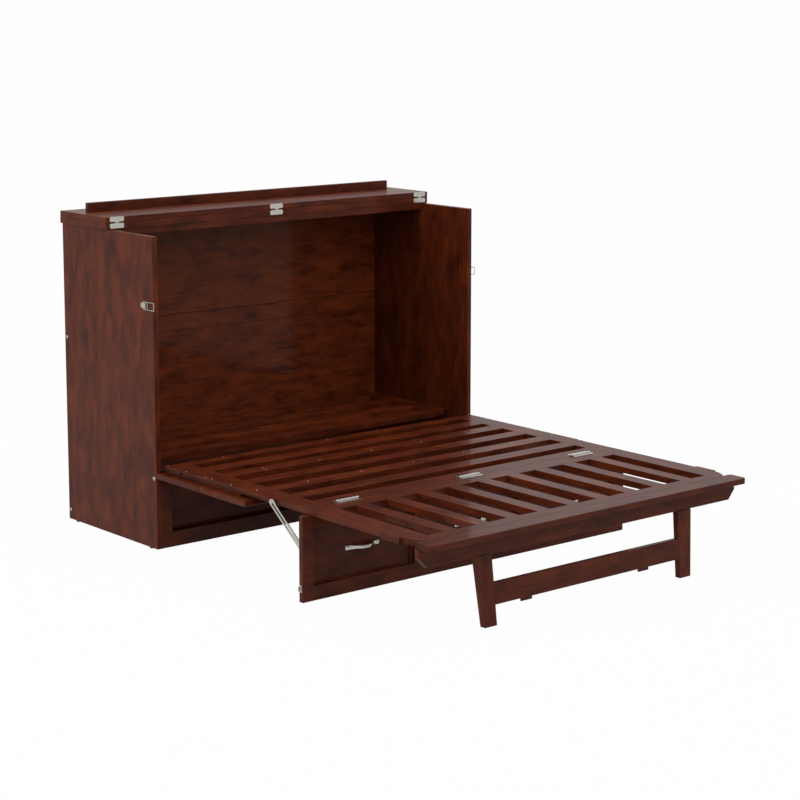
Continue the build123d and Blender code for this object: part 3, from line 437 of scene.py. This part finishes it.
def skin(work, rings):
    """Closes the faces between rings that have the same number of corners."""
    for ring, after in zip(rings, rings[1:]):
        for corner in range(len(ring)):
            ahead = (corner + 1) % len(ring)
            work.faces.new((ring[corner], ring[ahead], after[ahead], after[corner]))


work = bmesh.new()
for left_x in field_lefts:
    rings = []
    for step in range(BEAD_ARC + 2):
        if step <= BEAD_ARC:
            turn = math.radians(90 * step / BEAD_ARC)
            inset, out = BEAD * math.sin(turn), BEAD * math.cos(turn)
        else:
            inset, out = 0.0, 0.0
        low_x, high_x = left_x + inset, left_x + field_w - inset
        low_z, high_z = panel_low[2] + inset, panel_high[2] - inset
        rings.append([work.verts.new((x, panel_low[1] - out, z)) for x, z in
                      ((low_x, low_z), (high_x, low_z), (high_x, high_z), (low_x, high_z))])
    skin(work, rings + rings[:1])
bmesh.ops.recalc_face_normals(work, faces=work.faces)
lay_grain(work)
new_piece("leaf_beads", work, stained_wood, "leaf")

# ======== Handles ========
# A bow handle on each panel: a steel strap forged wider at its two feet, bent out in one
# smooth bow and nickel plated, with a screw through the panel into each foot.
HANDLE_END = 73 * MM      # middle of the handle to the end of a foot
BOW_END = 60 * MM         # the bow starts here
BOW_RISE = 0.86           # share of the bow's run over which it rises
STRAP = 4 * MM
STRAP_HIGH = 11 * MM
FOOT_HIGH = 16 * MM
STATIONS = 40
ROUND = 1.2 * MM
handle_out = panel_low[1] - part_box("handles")[0][1] - STRAP
handle_z = (panel_low[2] + panel_high[2]) / 2
work = bmesh.new()
for left_x in field_lefts:
    handle_x = left_x + field_w / 2
    rings = []
    for station in range(STATIONS + 1):
        along = HANDLE_END * (2 * station / STATIONS - 1)
        rise = min(1.0, max(0.0, (BOW_END - abs(along)) / (BOW_RISE * BOW_END)))
        rise = rise * rise * (3 - 2 * rise)
        tall = (FOOT_HIGH + (STRAP_HIGH - FOOT_HIGH) * min(1.0, 2 * rise)) / 2
        if station in (0, STATIONS):
            tall -= ROUND
        back_y = panel_low[1] - rise * handle_out
        front_y = back_y - STRAP
        outline = [(back_y, -tall), (front_y + ROUND, -tall), (front_y, ROUND - tall),
                   (front_y, tall - ROUND), (front_y + ROUND, tall), (back_y, tall)]
        rings.append([work.verts.new((handle_x + along, y, handle_z + z)) for y, z in outline])
    skin(work, rings)
    work.faces.new(rings[0])
    work.faces.new(rings[-1])
bmesh.ops.recalc_face_normals(work, faces=work.faces)
for face in work.faces:
    face.smooth = len(face.verts) == 4
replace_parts(new_piece("bow_handles", work, nickel_steel, "leaf"), "handles")

# ======== Stays ========
# A slotted steel bar at each side between a lug on the leaf and a bolt on the stile.
# The bars and lugs are nickel plated, and the bosses under the bolts are enamelled brown.
for node in ("stay_lugs", "stay_left", "stay_right"):
    finish(node, nickel_steel)
finish("stay_bosses", brown_enamel)

# ======== Lid ========
# The front half of the top, folded back on three butt hinges, with a strip across it
# that stops the raised platform.
for node in ("lid_panel", "lid_strip"):
    boards(node, "lid")
for node in ("lid_hinge_fixed", "lid_hinge_leaves"):
    finish(node, nickel_steel)

# ======== Latches ========
# A draw latch on each side: a base plate, a lever and a wire loop that hooks the leaf.
# The plates and levers are pressed from steel and the loops bent from wire, all nickel plated.
finish("latch_bases", nickel_steel)
for side in ("left", "right"):
    finish("latch_lever_" + side, nickel_steel)
    finish("latch_loop_" + side, nickel_steel)

# ======== Screws ========
# Cross-recessed screws and bolts with domed heads, cold-headed from steel wire and nickel
# plated.  They are driven down onto the boards and through the holes of the hinge plates.
TURN_SEED = 7
CROSS = 0.62              # the recess's length as a share of the head
CROSS_WIDE = 0.16
HEAD_SIDES = 18
HEAD_RINGS = 10


def screw_tree():
    """Domed heads with a cross recess on points, each along the point's facing attribute."""
    tree = bpy.data.node_groups.new("screw_heads", "GeometryNodeTree")
    tree.interface.new_socket("Points", in_out="INPUT", socket_type="NodeSocketGeometry")
    for name in ("Diameter", "Height"):
        tree.interface.new_socket(name, in_out="INPUT", socket_type="NodeSocketFloat")
    tree.interface.new_socket("Heads", in_out="OUTPUT", socket_type="NodeSocketGeometry")
    given = add(tree, "NodeGroupInput")
    half = add(tree, "ShaderNodeMath", {0: given.outputs["Diameter"], 1: 0.5}, operation="MULTIPLY")
    size = add(tree, "ShaderNodeCombineXYZ",
               {"X": half.outputs[0], "Y": half.outputs[0], "Z": given.outputs["Height"]})
    ball = add(tree, "GeometryNodeMeshUVSphere",
               {"Segments": HEAD_SIDES, "Rings": HEAD_RINGS, "Radius": 1.0})
    dome = add(tree, "GeometryNodeTransform", {"Geometry": ball.outputs["Mesh"], "Scale": size.outputs[0]})
    long = add(tree, "ShaderNodeMath", {0: given.outputs["Diameter"], 1: CROSS}, operation="MULTIPLY")
    wide = add(tree, "ShaderNodeMath", {0: given.outputs["Diameter"], 1: CROSS_WIDE}, operation="MULTIPLY")
    raised = add(tree, "ShaderNodeCombineXYZ", {"Z": given.outputs["Height"]})
    cuts = []
    for across, along in ((long, wide), (wide, long)):
        room = add(tree, "ShaderNodeCombineXYZ",
                   {"X": across.outputs[0], "Y": along.outputs[0], "Z": given.outputs["Height"]})
        bar = add(tree, "GeometryNodeMeshCube", {"Size": room.outputs[0]})
        cuts.append(add(tree, "GeometryNodeTransform",
                        {"Geometry": bar.outputs["Mesh"], "Translation": raised.outputs[0]}))
    head = add(tree, "GeometryNodeMeshBoolean", {"Mesh 1": dome.outputs[0]}, operation="DIFFERENCE")
    for cut in cuts:
        tree.links.new(cut.outputs[0], head.inputs["Mesh 2"])
    facing = add(tree, "GeometryNodeInputNamedAttribute", {"Name": "facing"}, data_type="FLOAT_VECTOR")
    aimed = add(tree, "FunctionNodeAlignRotationToVector",
                {"Vector": facing.outputs["Attribute"]}, axis="Z")
    turned = add(tree, "FunctionNodeRandomValue", {"Max": math.pi, "Seed": TURN_SEED}, data_type="FLOAT")
    spun = add(tree, "FunctionNodeAxisAngleToRotation",
               {"Axis": (0.0, 0.0, 1.0), "Angle": turned.outputs[1]})
    driven = add(tree, "FunctionNodeRotateRotation",
                 {"Rotation": aimed.outputs[0], "Rotate By": spun.outputs[0]}, rotation_space="LOCAL")
    placed = add(tree, "GeometryNodeInstanceOnPoints",
                 {"Points": given.outputs["Points"], "Instance": head.outputs["Mesh"],
                  "Rotation": driven.outputs[0]})
    real = add(tree, "GeometryNodeRealizeInstances", {"Geometry": placed.outputs[0]})
    plated = add(tree, "GeometryNodeSetMaterial", {"Geometry": real.outputs[0], "Material": nickel_steel})
    add(tree, "NodeGroupOutput", {"Heads": plated.outputs[0]})
    return tree


screw_heads = screw_tree()


def screws(name, body, diameter, height, rows):
    """Heads of one size on one body; rows are (facing, places)."""
    points = bpy.data.meshes.new(name + "_points")
    points.from_pydata([place for _, places in rows for place in places], [], [])
    facing = points.attributes.new("facing", "FLOAT_VECTOR", "POINT")
    facing.data.foreach_set("vector", [part for way, places in rows for _ in places for part in way])
    holder = bpy.data.objects.new(name + "_points", points)
    bpy.context.scene.collection.objects.link(holder)
    modifier = holder.modifiers.new("heads", "NODES")
    modifier.node_group = screw_heads
    sizes = {"Diameter": diameter, "Height": height}
    for item in screw_heads.interface.items_tree:
        if item.name in sizes:
            modifier[item.identifier] = sizes[item.name]
    evaluated = holder.evaluated_get(bpy.context.evaluated_depsgraph_get())
    mesh = bpy.data.meshes.new_from_object(evaluated)
    bpy.data.objects.remove(holder)
    fitted(name, mesh, body)


UP, LEFT, RIGHT = (0, 0, 1), (-1, 0, 0), (1, 0, 0)
TO_FOOT, TO_HEAD = (0, -1, 0), (0, 1, 0)
SINK = 0.2 * MM           # each head bites this far into what it holds


def mirrored(*places):
    """Each place and its twin on the other side of the bed."""
    return [(way * x, y, z) for x, y, z in places for way in (-1, 1)]


def axis_at(joint):
    """A place on a joint's axis."""
    return next(Vector(row["pos_m"]) for row in frame["joints"] if row["name"] == joint)


def both_sides(places):
    """Rows for heads on the right that face right, and their twins on the left."""
    return [(RIGHT, places), (LEFT, [(-x, y, z) for x, y, z in places])]


# The rear rail and two of the slats are screwed to every batten, and each stile has a line of
# screws along its lip and one more nearer the seam.
SLAT_SCREW = 6.5 * MM
SLAT_SCREW_HIGH = 1.3 * MM
BATTEN_PITCH = 239 * MM
BATTEN_ROWS = (0.407, 0.144, -0.097)
SECOND_ROW = 0.165        # the outer battens have a second screw beside the middle one
STILE_LINE = 0.714
STILE_ROWS = (0.41, 0.297, 0.18, 0.14, 0.024)
LONE_SCREW = (0.692, -0.093)
bed_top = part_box("platform_slats")[1][2] - SINK
on_battens = [(count * BATTEN_PITCH, y, bed_top) for y in BATTEN_ROWS for count in range(-2, 3)]
on_battens += mirrored((2 * BATTEN_PITCH, SECOND_ROW, bed_top))
on_stiles = mirrored(*[(STILE_LINE, y, bed_top) for y in STILE_ROWS], (*LONE_SCREW, bed_top))
screws("slat_screws", "platform", SLAT_SCREW, SLAT_SCREW_HIGH, [(UP, on_battens + on_stiles)])

# Six screws in each seam hinge, three to a plate.
SEAM_SCREW = 6 * MM
SEAM_SCREW_HIGH = 1.0 * MM
SEAM_PITCH = 543 * MM
SEAM_SPACING = 32 * MM
SEAM_INSET = 13 * MM      # from the hinge's axis
SEAM_PLATE = 2 * MM
plate_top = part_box("foot_stiles")[1][2] + SEAM_PLATE - SINK
seam_y = axis_at("foot_fold").y
for name, body, side in (("seam_screws_fixed", "platform", 1), ("seam_screws_leaves", "foot_panel", -1)):
    places = [(hinge * SEAM_PITCH + along * SEAM_SPACING, seam_y + side * SEAM_INSET, plate_top)
              for hinge in (-1, 0, 1) for along in (-1, 0, 1)]
    screws(name, body, SEAM_SCREW, SEAM_SCREW_HIGH, [(UP, places)])

# Four in each lid hinge.  These plates meet face to face, so the heads are let in flush.
LID_SCREW = 5.5 * MM
LID_SCREW_HIGH = 0.4 * MM
FLUSH = 0.3 * MM
LID_PITCH = 716 * MM
LID_SPACING = 20 * MM
LID_INSET = 12 * MM
LID_PLATE = 1.8 * MM
plate_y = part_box("fixed_top")[0][1] - LID_PLATE + FLUSH
lid_z = axis_at("lid_fold").z
for name, body, side in (("lid_screws_fixed", "cabinet", -1), ("lid_screws_leaves", "lid", 1)):
    places = [(hinge * LID_PITCH + along * LID_SPACING, plate_y, lid_z + side * LID_INSET)
              for hinge in (-1, 0, 1) for along in (-1, 1)]
    screws(name, body, LID_SCREW, LID_SCREW_HIGH, [(TO_FOOT, places)])

# Two small ones in each latch base, under the lever, and two in each strike.
SMALL_SCREW = 4 * MM
BASE_SCREW_HIGH = 0.7 * MM
BASE_PLATE = 2 * MM
BASE_INSET = 8 * MM
BASE_SPACING = 10 * MM
STRIKE_SCREW_HIGH = 0.9 * MM
STRIKE_PLATE = 1.5 * MM
STRIKE_SPACING = 18 * MM
side_low, side_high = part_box("side_right")
base_low, base_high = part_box("latch_bases")
base_z = (base_low[2] + base_high[2]) / 2
places = [(side_high[0] + BASE_PLATE - SINK, base_high[1] - BASE_INSET, base_z + way * BASE_SPACING / 2)
          for way in (-1, 1)]
screws("latch_screws", "cabinet", SMALL_SCREW, BASE_SCREW_HIGH, both_sides(places))
strike_low, strike_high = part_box("strikes")
strike_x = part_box("leaf_frame")[1][0] + STRIKE_PLATE - SINK
strike_y = (strike_low[1] + strike_high[1]) / 2
strike_z = (strike_low[2] + strike_high[2]) / 2
places = [(strike_x, strike_y, strike_z + way * STRIKE_SPACING / 2) for way in (-1, 1)]
screws("strike_screws", "leaf", SMALL_SCREW, STRIKE_SCREW_HIGH, both_sides(places))

# Two machine screws through the leaf's panel into the feet of each handle.
HANDLE_SCREW = 8 * MM
HANDLE_SCREW_HIGH = 1.5 * MM
HANDLE_HOLES = 128 * MM
places = [(left_x + field_w / 2 + way * HANDLE_HOLES / 2, panel_high[1] - SINK, handle_z)
          for left_x in field_lefts for way in (-1, 1)]
screws("handle_screws", "leaf", HANDLE_SCREW, HANDLE_SCREW_HIGH, [(TO_HEAD, places)])

# The cabinet is bolted together through its sides: a large bolt into the base front, under the
# pivot, and two smaller ones into the back's rail and its lower board.
BED_BOLT = 15 * MM
BED_BOLT_HIGH = 3.0 * MM
BED_BOLT_IN = 15.6 * MM   # from the side's front edge
BED_BOLT_DOWN = 33 * MM   # from the top of the base front
BACK_BOLT = 13 * MM
BACK_BOLT_HIGH = 2.5 * MM
RAIL_BOLT_OUT = 12 * MM   # from the back's outer face
RAIL_BOLT_UP = 28 * MM    # from the rail's lower edge
LOW_BOLT_OUT = 10 * MM
LOW_BOLT_UP = 37 * MM     # from the side's lower edge
bolt_x = side_high[0] - SINK
places = [(bolt_x, side_low[1] + BED_BOLT_IN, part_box("base_frame")[1][2] - BED_BOLT_DOWN)]
screws("bed_bolts", "cabinet", BED_BOLT, BED_BOLT_HIGH, both_sides(places))
places = [(bolt_x, rail_high[1] - RAIL_BOLT_OUT, rail_low[2] + RAIL_BOLT_UP),
          (bolt_x, rail_high[1] - LOW_BOLT_OUT, side_low[2] + LOW_BOLT_UP)]
screws("connector_bolts", "cabinet", BACK_BOLT, BACK_BOLT_HIGH, both_sides(places))

# ======== Studio ========
# A pale floor with no edge in view, a white backdrop, and three soft boxes to the left, above
# and in front.  The camera looks down a little on the bed from the left of its foot.
FLOOR_SIZE = 400.0
FLOOR_DROP = 0.3 * MM     # keeps the floor off the undersides
FLOOR_GREY = "#c6c6c6"
BACKDROP_SHARE = 0.985    # how much of the floor is the backdrop's white, seen directly
MIRRORED_SHARE = 0.6      # and seen in a mirror
AMBIENT = 0.62            # the backdrop's light on the bed
floor_mesh = bpy.data.meshes.new("floor")
reach = FLOOR_SIZE / 2
floor_mesh.from_pydata([(-reach, -reach, -FLOOR_DROP), (reach, -reach, -FLOOR_DROP),
                        (reach, reach, -FLOOR_DROP), (-reach, reach, -FLOOR_DROP)], [], [(0, 1, 2, 3)])
floor = bpy.data.objects.new("floor", floor_mesh)
bpy.context.scene.collection.objects.link(floor)


def sight(tree, path):
    """1 where a ray of the light path is the camera's own or comes from a mirror or through glass."""
    own = add(tree, "ShaderNodeMath", {0: path.outputs["Is Camera Ray"], 1: path.outputs["Is Glossy Ray"]},
              operation="MAXIMUM")
    seen = add(tree, "ShaderNodeMath", {0: own.outputs[0], 1: path.outputs["Is Transmission Ray"]},
               operation="MAXIMUM")
    return seen.outputs[0]


# Painted plaster: flat and pale.  Seen directly it is almost the backdrop's white, and in a mirror
# a little less so; the rest of it takes the shadow.
painted_plaster, tree = bare_material("painted_plaster")
path = add(tree, "ShaderNodeLightPath")
seen = sight(tree, path)
share = add(tree, "ShaderNodeMapRange",
            {"Value": path.outputs["Is Camera Ray"], "To Min": MIRRORED_SHARE, "To Max": BACKDROP_SHARE})
white_share = add(tree, "ShaderNodeMath", {0: seen, 1: share.outputs[0]}, operation="MULTIPLY")
matt = add(tree, "ShaderNodeBsdfDiffuse", {"Color": linear(FLOOR_GREY)})
white = add(tree, "ShaderNodeEmission", {"Color": (1.0, 1.0, 1.0, 1.0), "Strength": 1.0})
both = add(tree, "ShaderNodeMixShader",
           {0: white_share.outputs[0], 1: matt.outputs[0], 2: white.outputs[0]})
add(tree, "ShaderNodeOutputMaterial", {"Surface": both.outputs[0]})
floor_mesh.materials.append(painted_plaster)

world = bpy.data.worlds.new("studio")
world.use_nodes = True
world.node_tree.nodes.clear()
tree = world.node_tree
seen = sight(tree, add(tree, "ShaderNodeLightPath"))
strength = add(tree, "ShaderNodeMapRange", {"Value": seen, "To Min": AMBIENT, "To Max": 1.0})
sky = add(tree, "ShaderNodeBackground", {"Color": (1.0, 1.0, 1.0, 1.0), "Strength": strength.outputs[0]})
add(tree, "ShaderNodeOutputWorld", {"Surface": sky.outputs[0]})
bpy.context.scene.world = world


def soft_lamp(name, at, towards, width, watts):
    """A square soft box that shines on the bed and isn't mirrored in the lacquer."""
    light = bpy.data.lights.new(name, "AREA")
    light.shape = "SQUARE"
    light.size = width
    light.energy = watts
    lamp = bpy.data.objects.new(name, light)
    bpy.context.scene.collection.objects.link(lamp)
    lamp.location = at
    lamp.rotation_euler = (Vector(towards) - Vector(at)).to_track_quat("-Z", "Y").to_euler()
    lamp.visible_glossy = False
    lamp.visible_camera = False


centre = (cad_box[0] + cad_box[1]) / 2
soft_lamp("key", (-5.5, 0.9, 3.4), centre, 3.0, 138)
soft_lamp("top", (0.6, -0.6, 5.0), centre, 4.0, 80)
soft_lamp("front", (-1.0, -5.2, 4.2), centre, 3.5, 74)

scene = bpy.context.scene
scene.view_settings.view_transform = "Standard"
LENS = 96.6
SHIFT = -0.1
CAMERA_AT = (-4.870, -5.855, 2.013)
TILT_DOWN = math.radians(8.94)
TURN_RIGHT = math.radians(39.86)
camera_data = bpy.data.cameras.new("camera")
camera_data.lens = LENS
camera_data.sensor_width = 36.0
camera_data.shift_y = SHIFT
camera = bpy.data.objects.new("camera", camera_data)
scene.collection.objects.link(camera)
camera.location = CAMERA_AT
camera.rotation_euler = (math.radians(90) - TILT_DOWN, 0.0, -TURN_RIGHT)
scene.camera = camera
